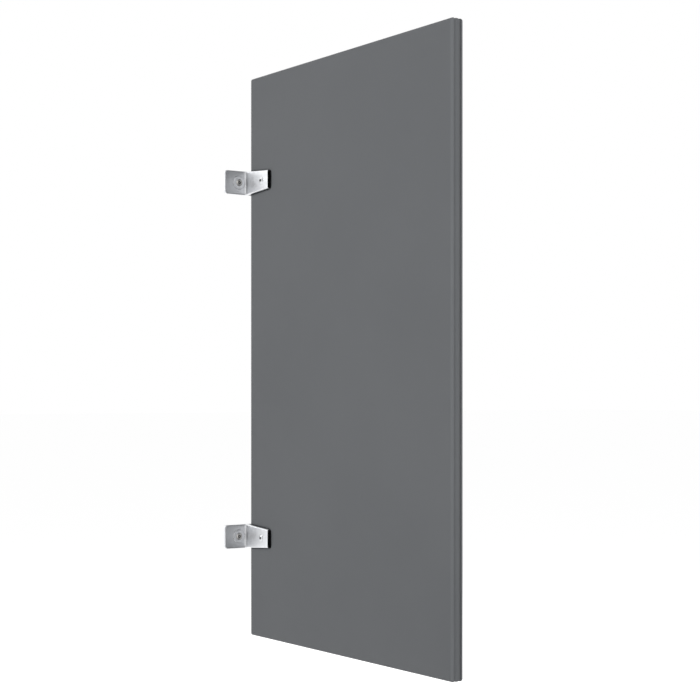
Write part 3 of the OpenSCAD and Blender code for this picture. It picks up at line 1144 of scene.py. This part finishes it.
@dataclass
class Bracket:
    """One cast double-ear bracket, with rounded edges, screw bosses, and painted shade black on the ears'
    free ends.
    """

    finishes: Finishes
    runner: SectionRunner
    level: Level
    plate_t: float = 5.5 * MM
    plate_corner_r: float = 6.0 * MM
    ear_t: float = 6.0 * MM
    ear_in: float = 12.9 * MM
    ear_end_h: float = 34.0 * MM
    ear_corner_r: float = 3.0 * MM
    fillet_r: float = 4.0 * MM
    edge_r: float = 2.0 * MM
    inner_share: float = 0.25
    wall_share: float = 0.15
    round_steps: int = 5
    corner_steps: int = 8
    boss_d: float = 26.0 * MM
    boss_h: float = 1.2 * MM
    boss_sink: float = 2.0 * MM
    screw_pitch: float = 70.0 * MM
    screw_hole_d: float = 6.9 * MM
    seat_d: float = 13.2 * MM
    bolt_y: float = -60.0 * MM
    bolt_hole_d: float = 7.2 * MM
    cut_over: float = 1.0 * MM
    turn_steps: int = 64
    sharp_deg: float = 40.0
    # Painted shade: how far from the ears' tips the black finish reaches.
    end_depth: float = 2.1 * MM

    def __post_init__(self) -> None:
        """Takes the bracket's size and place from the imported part."""
        self.node = f"wall_bracket_{self.level.value}"
        low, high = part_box(self.node)
        self.middle_z = (low.z + high.z) / 2
        self.half_h = (high.z - low.z) / 2
        self.half_w = high.x
        self.tip = low.y
        self.ear_out = self.ear_in + self.ear_t
        run = -self.tip - self.plate_t
        self.taper = math.atan((self.half_h - self.ear_end_h / 2) / run)

    def _ear_height(self, y: float) -> float:
        """Gives half the height of the ears at a distance from the wall."""
        return self.half_h + math.tan(self.taper) * min(0.0, y + self.plate_t)

    def _ear_side(self, start: float) -> list[tuple[float, float]]:
        """Makes the ears' outline from the side, as pairs of y and height.

        Args:
            start: The y where it starts, at the top.

        Returns:
            The points from there round the free end to the same y at the bottom.
        """
        r = self.ear_corner_r
        corner_y = self.tip + r
        corner_h = self.ear_end_h / 2 + r * (math.tan(self.taper) - 1 / math.cos(self.taper))
        first = math.pi / 2 - self.taper
        angles = [first * (1 - i / self.corner_steps) for i in range(self.corner_steps + 1)]
        upper = [(corner_y - r * math.cos(a), corner_h + r * math.sin(a)) for a in angles]
        upper.insert(0, (start, self._ear_height(start)))
        return upper + [(y, -h) for y, h in reversed(upper)]

    def _plate_end(self, start: float) -> list[tuple[float, float]]:
        """Makes the outline of one end of the plate from the front, as x and height.

        Args:
            start: The x where it starts, at the bottom.

        Returns:
            The points from there round the end to the same x at the top.
        """
        r = self.plate_corner_r
        corner_x, corner_h = self.half_w - r, self.half_h - r
        angles = [math.pi / 2 * i / self.corner_steps for i in range(self.corner_steps + 1)]
        upper = [(corner_x + r * math.cos(a), corner_h + r * math.sin(a)) for a in angles]
        lower = [(x, -h) for x, h in reversed(upper)]
        return [(start, -self.half_h), *lower, *upper, (start, self.half_h)]

    def _shape_base(self, shape: bmesh.types.BMesh) -> None:
        """Shapes the casting with sharp edges, each with its share of the rounding.

        Args:
            shape: The empty shape that it goes into.
        """
        weight = shape.edges.layers.float.new("bevel_weight_edge")
        made: dict[tuple[int, int, int], bmesh.types.BMVert] = {}

        def at(x: float, y: float, h: float) -> bmesh.types.BMVert:
            """Gives the vertex at a place, made once.

            Args:
                x: The place across the panel.
                y: The place into the wall.
                h: The height above the bracket's middle.

            Returns:
                The vertex.
            """
            key = (round(x / WELD), round(y / WELD), round(h / WELD))
            if key not in made:
                made[key] = shape.verts.new((x, y, self.middle_z + h))
            return made[key]

        def face(points: Sequence[tuple[float, float, float]]) -> None:
            """Adds a face through points."""
            shape.faces.new([at(*point) for point in points])

        def outline(points: Sequence[tuple[float, float, float]], share: float) -> None:
            """Gives the edges along an open line of points their share of the rounding.

            Args:
                points: The points, each as x, y and height.
                share: The share, from 0 to 1.
            """
            for first, second in zip(points, points[1:]):
                edge = shape.edges.get((at(*first), at(*second)))
                edge[weight] = share

        front, out, inn = -self.plate_t, self.ear_out, self.ear_in
        fillet_x, fillet_y = out + self.fillet_r, front - self.fillet_r
        turns = [math.pi / 2 * i / self.corner_steps for i in range(self.corner_steps + 1)]
        bends = [
            (fillet_x - self.fillet_r * math.sin(a), fillet_y + self.fillet_r * math.cos(a)) for a in turns
        ]
        outer_side = self._ear_side(fillet_y)
        inner_side = [(front, self.half_h), *outer_side[1:-1], (front, -self.half_h)]
        end = self._plate_end(fillet_x)
        back = []
        for hand in (1, -1):
            face([(hand * x, front, h) for x, h in end])
            for first, second in zip(end[1:], end[2:-1]):
                sides = ((first, 0), (second, 0), (second, front), (first, front))
                face([(hand * x, y, h) for (x, h), y in sides])
            for first, second in zip(bends, bends[1:]):
                tall = [(hand * x, y, self._ear_height(y)) for x, y in (first, second)]
                face([*tall, *((x, y, -h) for x, y, h in reversed(tall))])
            face([(hand * out, y, h) for y, h in outer_side])
            face([(hand * inn, y, h) for y, h in inner_side])
            for first, second in zip(outer_side[1:], outer_side[2:-1]):
                sides = ((first, out), (second, out), (second, inn), (first, inn))
                face([(hand * x, y, h) for (y, h), x in sides])
            y, h = outer_side[1]
            for up in (1, -1):
                tops = [(hand * x, y, up * self._ear_height(y)) for x, y in bends]
                ear = ((out, y, h), (inn, y, h), (inn, front, self.half_h))
                face([*tops, *((hand * x, y, up * h) for x, y, h in ear)])
                outline(tops, 1.0)
            outline([(hand * x, front, h) for x, h in end], 1.0)
            outline([(hand * out, y, h) for y, h in outer_side], 1.0)
            outline([(hand * inn, y, h) for y, h in inner_side], self.inner_share)
            back += [(hand * x, 0.0, hand * h) for x, h in end[1:-1]]
        web = [(inn, front, self.half_h), (-inn, front, self.half_h)]
        face([*web, *((x, y, -h) for x, y, h in reversed(web))])
        corner_x = self.half_w - self.plate_corner_r
        row = [corner_x, fillet_x, inn, -inn, -fillet_x, -corner_x]
        rim = [*((x, front) for x in row), (-corner_x, 0.0), (corner_x, 0.0)]
        for up in (1, -1):
            face([(x, y, up * self.half_h) for x, y in rim])
            outline([(x, y, up * h) for x, y, h in web], self.inner_share)
        face(back)
        outline([*back, back[0]], self.wall_share)
        face_outwards(shape)

    def _turned(
        self, name: str, spots: Sequence[tuple[Vector, Vector]], rows: Sequence[Row]
    ) -> bpy.types.Object:
        """Turns a section about one or more axes, as a helper for a cut or a joint.

        Args:
            name: The helper's name.
            spots: Where each axis starts, and the way it runs.
            rows: The section, from the axis round and back to it.

        Returns:
            The helper.
        """
        mesh = bpy.data.meshes.new(name)
        with edited(mesh) as shape:
            for origin, along in spots:
                rail = axis_rail(origin, along, self.turn_steps)
                shape.from_mesh(self.runner.run(name, rail, rows, self.finishes["bracket_chrome"]))
            face_outwards(shape)
        return add_object(name, mesh)

    def build(self) -> None:
        """Builds the casting: rounds its edges, adds the bosses and cuts the holes."""
        name = self.node + "_cast"
        mesh = bpy.data.meshes.new(name)
        with edited(mesh) as shape:
            self._shape_base(shape)
        helper = add_object(name + "_helper", mesh)
        soften = {"width": self.edge_r, "segments": self.round_steps, "limit_method": "WEIGHT"}
        add_modifier(helper, "BEVEL", **soften, use_clamp_overlap=False)
        screws = [
            (Vector((hand.value * self.screw_pitch / 2, 0.0, self.middle_z)), Vector((0.0, -1.0, 0.0)))
            for hand in Hand
        ]
        top = self.plate_t + self.boss_h
        boss = [
            Row(0.0, self.plate_t - self.boss_sink),
            Row(self.boss_d / 2, self.plate_t - self.boss_sink),
            *arc((self.boss_d / 2 - self.boss_h, self.plate_t), self.boss_h, 0, 90, self.corner_steps),
            Row(0.0, top),
        ]
        seat, bore, over = self.seat_d / 2, self.screw_hole_d / 2, self.cut_over
        hole = [
            Row(0.0, -over),
            Row(bore, -over),
            Row(bore, top - (seat - bore)),
            Row(seat, top),
            Row(seat, top + over),
            Row(0.0, top + over),
        ]
        reach = self.ear_out + over
        bolt = (Vector((-reach, self.bolt_y, self.middle_z)), Vector((1.0, 0.0, 0.0)))
        half = self.bolt_hole_d / 2
        bolt_rows = [Row(0.0, 0.0), Row(half, 0.0), Row(half, 2 * reach), Row(0.0, 2 * reach)]
        parts = (
            ("UNION", self._turned(name + "_bosses", screws, boss)),
            ("DIFFERENCE", self._turned(name + "_screw_holes", screws, hole)),
            ("DIFFERENCE", self._turned(name + "_bolt_hole", [bolt], bolt_rows)),
        )
        for kind, part in parts:
            add_modifier(helper, "BOOLEAN", operation=kind, object=part, solver="EXACT")
        cast = plain_mesh(helper)
        cast.name = name
        for thing in (helper, *(part for _, part in parts)):
            bpy.data.objects.remove(thing)
        self._finish(name, cast)

    def _finish(self, name: str, cast: bpy.types.Mesh) -> None:
        """Makes the piece of the finished mesh, with painted shade black on the ears' free ends.

        Args:
            name: The piece's name.
            cast: The mesh.
        """
        # Painted shade: faces at the ears' free ends take the black finish that stands in for their shade.
        shaded_end_y = self.tip + self.end_depth
        with edited(cast) as shape:
            close_slits(shape)
            whole = [*shape.verts, *shape.edges, *shape.faces]
            plane = {"plane_co": (0, shaded_end_y, 0), "plane_no": (0, 1, 0)}
            bmesh.ops.bisect_plane(shape, geom=whole, dist=WELD, **plane)
        cast.materials.clear()
        for finish in ("bracket_chrome", "blacked_end"):
            cast.materials.append(self.finishes[finish])
        for face in cast.polygons:
            face.material_index = 1 if face.center.y < shaded_end_y else 0
        smooth(cast, self.sharp_deg)
        helper = add_object(name + "_helper", cast)
        add_modifier(helper, "WEIGHTED_NORMAL", keep_sharp=True)
        mesh = plain_mesh(helper)
        mesh.name = name
        bpy.data.objects.remove(helper)
        make_piece(name, mesh, self.node)


@dataclass
class Fastener:
    """What the screws, bolts and barrel nuts share: turned about an axis, with a domed head."""

    finishes: Finishes
    runner: SectionRunner
    head_d: float
    dome_h: float
    recess_d: float = 6.4 * MM
    recess_depth: float = 2.2 * MM
    pin_d: float = 1.7 * MM
    lobe_share: float = 0.14
    rim_soft: float = 0.15 * MM
    pin_sink: float = 0.02 * MM
    turn_steps: int = 60
    dome_steps: int = 10
    sharp_deg: float = 38.0

    @property
    def dome_radius(self) -> float:
        """The radius of the ball that the dome is cut from."""
        half = self.head_d / 2
        return (half * half + self.dome_h * self.dome_h) / (2 * self.dome_h)

    def _head_rows(self, top: float) -> list[Row]:
        """Makes the pin, the six-lobed recess and the dome round it.

        Args:
            top: The rise of the dome's top. The axis runs from the head to the far end.

        Returns:
            The rows from the pin's middle out to the dome's rim.
        """
        pin = self.pin_d / 2
        floor = top + self.recess_depth
        lobe = self.recess_d * self.lobe_share / 2
        wall = self.recess_d / 2 - lobe
        soft = self.rim_soft
        rows = [
            Row(0.0, top + self.pin_sink),
            Row(pin - soft, top + self.pin_sink),
            Row(pin, top + soft),
            Row(pin, floor),
            Row(wall, floor, lobe),
            Row(wall, top + soft, lobe, 0.0, 1.0),
            Row(wall + soft, top, lobe, 0.0, 1.0),
        ]
        start, end = wall + soft, self.head_d / 2
        for i in range(1, self.dome_steps + 1):
            share = i / self.dome_steps
            rows.append(Row(start + (end - start) * share, top, lobe * (1 - share) ** 2, 0.0, 1.0))
        return rows

    def _make(
        self, name: str, node: str, slot: str, rail: list[Station], rows: list[Row], **sizes: float
    ) -> bpy.types.Object:
        """Turns a section and makes a piece of it.

        Args:
            name: The piece's name.
            node: The node that it stands for.
            slot: The record's material slot.
            rail: The stations about its axis.
            rows: Its section.
            **sizes: The runner's other inputs.

        Returns:
            The piece.
        """
        sizes["Dome_Radius"] = self.dome_radius
        mesh = self.runner.run(name, rail, rows, self.finishes[slot], **sizes)
        with edited(mesh) as shape:
            bmesh.ops.dissolve_degenerate(shape, dist=WELD, edges=shape.edges)
            face_outwards(shape)
        smooth(mesh, self.sharp_deg)
        return make_piece(name, mesh, node)


@dataclass
class WallScrew(Fastener):
    """A wall screw: domed countersunk head, plain neck, cut thread and point."""

    head_d: float = 12.4 * MM
    dome_h: float = 1.5 * MM
    neck_d: float = 5.4 * MM
    thread_d: float = 6.1 * MM
    root_d: float = 4.3 * MM
    pitch: float = 2.7 * MM
    crest_width: float = 0.24
    tip_d: float = 1.0 * MM
    rim_round: float = 0.25 * MM
    rows_a_pitch: int = 12

    def build(self, level: Level, hand: Hand) -> None:
        """Builds one screw.

        Args:
            level: The bracket that it holds.
            hand: The side of the panel that it is on.
        """
        node = f"wall_screw_{level.value}_{hand.name.lower()}"
        low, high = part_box(node)
        origin = Vector(((low.x + high.x) / 2, 0.0, (low.z + high.z) / 2))
        rail = axis_rail(origin, Vector((0.0, 1.0, 0.0)), self.turn_steps)
        rows = self._head_rows(low.y)
        seat = low.y + self.dome_h
        half, neck = self.head_d / 2, self.neck_d / 2
        cone_end = seat + half - neck
        rows += [
            Row(half - 0.1 * self.rim_round, seat + 0.6 * self.rim_round),
            Row(half - self.rim_round, seat + 1.4 * self.rim_round),
            Row(neck + self.rim_round, cone_end - self.rim_round),
            Row(neck, cone_end + self.rim_round),
            Row(neck, -self.rim_round),
            Row(self.root_d / 2, self.rim_round),
        ]
        point_start = high.y - self.thread_d
        count = round((high.y - self.rim_round) / self.pitch * self.rows_a_pitch)
        deepest = (self.thread_d - self.root_d) / 2
        for i in range(1, count + 1):
            rise = self.rim_round + (high.y - self.rim_round) * i / count
            taper = min(1.0, (high.y - rise) / (high.y - point_start))
            core = self.tip_d / 2 + (self.root_d - self.tip_d) / 2 * taper
            run_in = min(1.0, rise / self.pitch, 1.2 * taper)
            rows.append(Row(core, rise, 0.0, deepest * run_in))
        rows.append(Row(0.0, high.y))
        thread = {"Thread_Pitch": self.pitch, "Crest_Width": self.crest_width}
        self._make(f"{node}_threaded", node, "stainless_steel", rail, rows, **thread)


@dataclass
class ThroughBolt(Fastener):
    """The bolt through both ears, with its recessed head on the left."""

    head_d: float = 12.7 * MM
    dome_h: float = 3.0 * MM
    shank_d: float = 4.8 * MM
    root_d: float = 3.9 * MM
    pitch: float = 1.06 * MM
    crest_width: float = 0.5
    thread_share: float = 0.6
    rows_a_pitch: int = 8
    skin: float = 0.2 * MM

    def build(self, level: Level) -> None:
        """Builds one bolt.

        Args:
            level: The bracket that it goes through.
        """
        node = f"through_bolt_{level.value}"
        low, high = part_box(node)
        origin = Vector((0.0, (low.y + high.y) / 2, (low.z + high.z) / 2))
        rail = axis_rail(origin, Vector((1.0, 0.0, 0.0)), self.turn_steps)
        rows = self._head_rows(low.x)
        seat = low.x + self.dome_h
        shank = self.shank_d / 2
        thread_start = high.x - self.thread_share * (high.x - seat)
        rows += [
            Row(self.head_d / 2, seat),
            Row(shank, seat),
            Row(shank, thread_start - self.pitch / 2),
            Row(self.root_d / 2, thread_start),
        ]
        count = round((high.x - thread_start) / self.pitch * self.rows_a_pitch)
        for i in range(1, count + 1):
            rise = thread_start + (high.x - thread_start) * i / count
            ends = min(1.0, (rise - thread_start) / self.pitch, (high.x - rise) / self.pitch)
            rows.append(Row(self.root_d / 2, rise, 0.0, (self.shank_d - self.root_d) / 2 * ends))
        rows.append(Row(0.0, high.x))
        thread = {"Thread_Pitch": self.pitch, "Crest_Width": self.crest_width}
        bolt = self._make(f"{node}_threaded", node, "bracket_chrome", rail, rows, **thread)
        self._blacken_recess(bolt.data, Vector((low.x, origin.y, origin.z)))

    def _blacken_recess(self, mesh: bpy.types.Mesh, top: Vector) -> None:
        """Paints the inside of the recess and the pin's top black, as painted shade.

        Args:
            mesh: The bolt's mesh.
            top: The middle of the head's top.
        """
        # Painted shade: the recess walls, its floor and the pin's top take the black finish.
        mesh.materials.append(self.finishes["blacked_end"])
        for face in mesh.polygons:
            depth, *across = face.center - top
            reach = math.hypot(*across)
            if reach < self.recess_d / 2 and depth < self.recess_depth + self.skin:
                fall = self.dome_radius - math.sqrt(self.dome_radius**2 - reach**2)
                inside = reach < self.pin_d / 2 or depth > fall + self.skin
                face.material_index = 1 if inside else 0


@dataclass
class BarrelNut(Fastener):
    """The barrel nut that takes the bolt, with its plain domed head on the right."""

    head_d: float = 12.7 * MM
    dome_h: float = 3.0 * MM
    barrel_d: float = 6.8 * MM
    bore_d: float = 5.0 * MM
    edge_round: float = 0.3 * MM

    def build(self, level: Level) -> None:
        """Builds one barrel nut.

        Args:
            level: The bracket that it goes through.
        """
        node = f"barrel_nut_{level.value}"
        low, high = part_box(node)
        origin = Vector((0.0, (low.y + high.y) / 2, (low.z + high.z) / 2))
        rail = axis_rail(origin, Vector((-1.0, 0.0, 0.0)), self.turn_steps)
        top, end = -high.x, -low.x
        seat = top + self.dome_h
        half, barrel, bore, soft = self.head_d / 2, self.barrel_d / 2, self.bore_d / 2, self.edge_round
        rows = [Row(half * i / self.dome_steps, top, 0.0, 0.0, 1.0) for i in range(self.dome_steps + 1)]
        rows += [
            Row(half, seat),
            Row(barrel, seat),
            Row(barrel, end - soft),
            Row(barrel - soft, end),
            Row(bore + soft, end),
            Row(bore, end - soft),
            Row(bore, seat),
            Row(0.0, seat - soft),
        ]
        self._make(f"{node}_turned", node, "bracket_chrome", rail, rows)


# ---- Studio -------------------------------------------------------------------


@dataclass(frozen=True)
class Lamp:
    """One large soft lamp, aimed at a point."""

    name: str
    place: tuple[float, float, float]
    aim: tuple[float, float, float]
    size: float
    power: float

    def build(self) -> None:
        """Hangs the lamp."""
        data = bpy.data.lights.new(self.name, "AREA")
        data.shape = "SQUARE"
        data.size = self.size
        data.energy = self.power
        lamp = add_object(self.name, data)
        lamp.location = self.place
        lamp.rotation_euler = (Vector(self.aim) - lamp.location).to_track_quat("-Z", "Y").to_euler()
        lamp.visible_glossy = False


@dataclass(frozen=True)
class Studio:
    """Camera, world, floor and lamps."""

    photo_px: int = 700
    camera_place: tuple[float, float, float] = (-1.5883, -2.54276, -0.0659)
    camera_turn_deg: float = 35.573
    focal_px: float = 1550.3
    horizon_below_middle_px: float = 44.0
    sensor: float = 36.0
    floor_drop: float = 0.40
    floor_half: float = 60.0
    ambient: float = 0.20
    # The turns at which each stretch that metal mirrors starts and is full, and its strength:
    # a glow behind on the left, the left side, a glow in front of it, the room, and white.
    stretches: tuple[tuple[float, float, float], ...] = (
        (-75, -62, 1.85),
        (-15, 5, 0.23),
        (30, 45, 1.42),
        (75, 95, 0.55),
        (150, 178, 1.0),
    )
    steep_span: tuple[float, float] = (0.35, 0.9)
    steep_share: float = 0.6
    behind_span: tuple[float, float] = (0.1, 0.5)
    floor_colour: Colour = (0.8, 0.8, 0.8)
    floor_seen_colour: Colour = (0.45, 0.45, 0.45)
    floor_roughness: float = 0.9
    floor_span: tuple[float, float] = (-0.6, 0.8)
    floor_grey: tuple[float, float] = (0.33, 1.0)
    floor_shown: tuple[float, float] = (0.70, 0.90)
    shadow_y: float = -0.4
    shadow_reach: tuple[float, float] = (0.8, 1.6)
    lamps: tuple[Lamp, ...] = (
        Lamp("left_lamp", (-3.0, -0.35, 1.1), (0.0, -0.3, 0.0), 1.3, 53.0),
        Lamp("front_lamp", (-0.3, -3.6, 1.4), (0.0, -0.6, 0.0), 1.3, 66.0),
        Lamp("right_lamp", (2.3, 2.1, 1.9), (0.0, -0.3, 0.0), 1.3, 92.0),
    )

    def build(self) -> None:
        """Builds all of it."""
        bpy.context.scene.view_settings.view_transform = "Standard"
        self._make_camera()
        self._make_world()
        self._make_floor()
        for lamp in self.lamps:
            lamp.build()

    def _make_camera(self) -> None:
        """Sets the camera where the photograph was taken from."""
        data = bpy.data.cameras.new("camera")
        data.sensor_width = self.sensor
        data.lens = self.focal_px / self.photo_px * self.sensor
        data.shift_y = self.horizon_below_middle_px / self.photo_px
        data.clip_end = 2 * self.floor_half
        camera = add_object("camera", data)
        camera.location = self.camera_place
        camera.rotation_euler = (math.pi / 2, 0.0, -math.radians(self.camera_turn_deg))
        bpy.context.scene.camera = camera

    def _make_world(self) -> None:
        """Makes a world that is white to the camera and lights the object softly.

        Metal sees it white beyond the wall's side, and grey on the room's side with two
        bright stretches on the left. The turn is 0 to the left and 90 to the front.
        """
        world = bpy.data.worlds.new("studio")
        world.use_nodes = True
        world.node_tree.nodes.clear()
        graph = Graph(world.node_tree)
        path = graph.add("ShaderNodeLightPath").outputs
        way = graph.add("ShaderNodeTexCoord").outputs["Generated"]
        parts = graph.add("ShaderNodeSeparateXYZ", {0: way}).outputs
        left, front = (graph.math("MULTIPLY", part, -1.0) for part in parts[:2])
        turn = graph.math("DEGREES", graph.math("ARCTAN2", front, left))
        room: Any = 1.0
        for start, full, strength in self.stretches:
            room = graph.mix(graph.remap(turn, (start, full)), room, strength)
        steep = graph.math("ABSOLUTE", parts[2])
        steep = graph.remap(steep, self.steep_span, (1.0, self.steep_share))
        behind = graph.remap(parts[1], self.behind_span)
        steep = graph.math("MAXIMUM", steep, behind)
        mirrored = graph.math("MULTIPLY", room, steep)
        glossy = graph.math("MAXIMUM", path["Is Glossy Ray"], path["Is Transmission Ray"])
        strength = graph.mix(glossy, self.ambient, mirrored)
        strength = graph.mix(path["Is Camera Ray"], strength, 1.0)
        sky = graph.add("ShaderNodeBackground", {"Color": (1, 1, 1, 1), "Strength": strength})
        graph.add("ShaderNodeOutputWorld", {"Surface": sky.outputs[0]})
        bpy.context.scene.world = world

    def _make_floor(self) -> None:
        """Makes a plain pale floor below the screen, which keeps the screen's shadow."""
        level = cad_box[0].z - self.floor_drop
        mesh = bpy.data.meshes.new("floor")
        half = self.floor_half
        corners = [(-half, -half), (half, -half), (half, half), (-half, half)]
        mesh.from_pydata([(x, y, level) for x, y in corners], [], [(0, 1, 2, 3)])
        floor = add_object("floor", mesh)
        material, graph, surface = new_material("floor_paint")
        path = graph.add("ShaderNodeLightPath").outputs
        seen = graph.math("MAXIMUM", path["Is Camera Ray"], path["Is Glossy Ray"])
        seen = graph.math("MAXIMUM", seen, path["Is Transmission Ray"])
        place = graph.add("ShaderNodeTexCoord").outputs["Object"]
        beyond = graph.add("ShaderNodeSeparateXYZ", {0: place}).outputs[1]
        grey = graph.remap(beyond, self.floor_span, self.floor_grey)
        spot = graph.vector("SUBTRACT", place, (0.0, self.shadow_y, level))
        away = graph.add("ShaderNodeVectorMath", {0: spot}, operation="LENGTH").outputs["Value"]
        white = graph.remap(away, self.shadow_reach, self.floor_shown)
        shown = graph.mix(path["Is Camera Ray"], grey, white)
        paint = graph.blend(seen, self.floor_colour, self.floor_seen_colour)
        graph.feed(surface.inputs["Base Color"], paint)
        surface.inputs["Emission Color"].default_value = (1, 1, 1, 1)
        graph.feed(surface.inputs["Emission Strength"], graph.math("MULTIPLY", seen, shown))
        surface.inputs["Roughness"].default_value = self.floor_roughness
        surface.inputs["Specular IOR Level"].default_value = 0.0
        mesh.materials.append(material)


def dress_hidden_pieces(finishes: Finishes) -> None:
    """Finishes the nodes that stay as they were packed.

    Args:
        finishes: The screen's finishes.
    """
    slots = {part["node"]: part["material_slot"] for part in frame["record"]["subparts"]}
    for name in ("honeycomb_core", "backing_channel_upper", "backing_channel_lower"):
        finishes.dress(frame["nodes"][name], slots[name])


def main() -> None:
    """Builds the scene, one sub-assembly after another."""
    logging.basicConfig(level=logging.INFO, format="%(message)s")
    Studio().build()
    finishes = Finishes(Effects())
    runner = SectionRunner()
    Panel(finishes, runner).build()
    for level in Level:
        Bracket(finishes, runner, level).build()
        ThroughBolt(finishes, runner).build(level)
        BarrelNut(finishes, runner).build(level)
        for hand in Hand:
            WallScrew(finishes, runner).build(level, hand)
    dress_hidden_pieces(finishes)


if __name__ == "__main__":
    main()
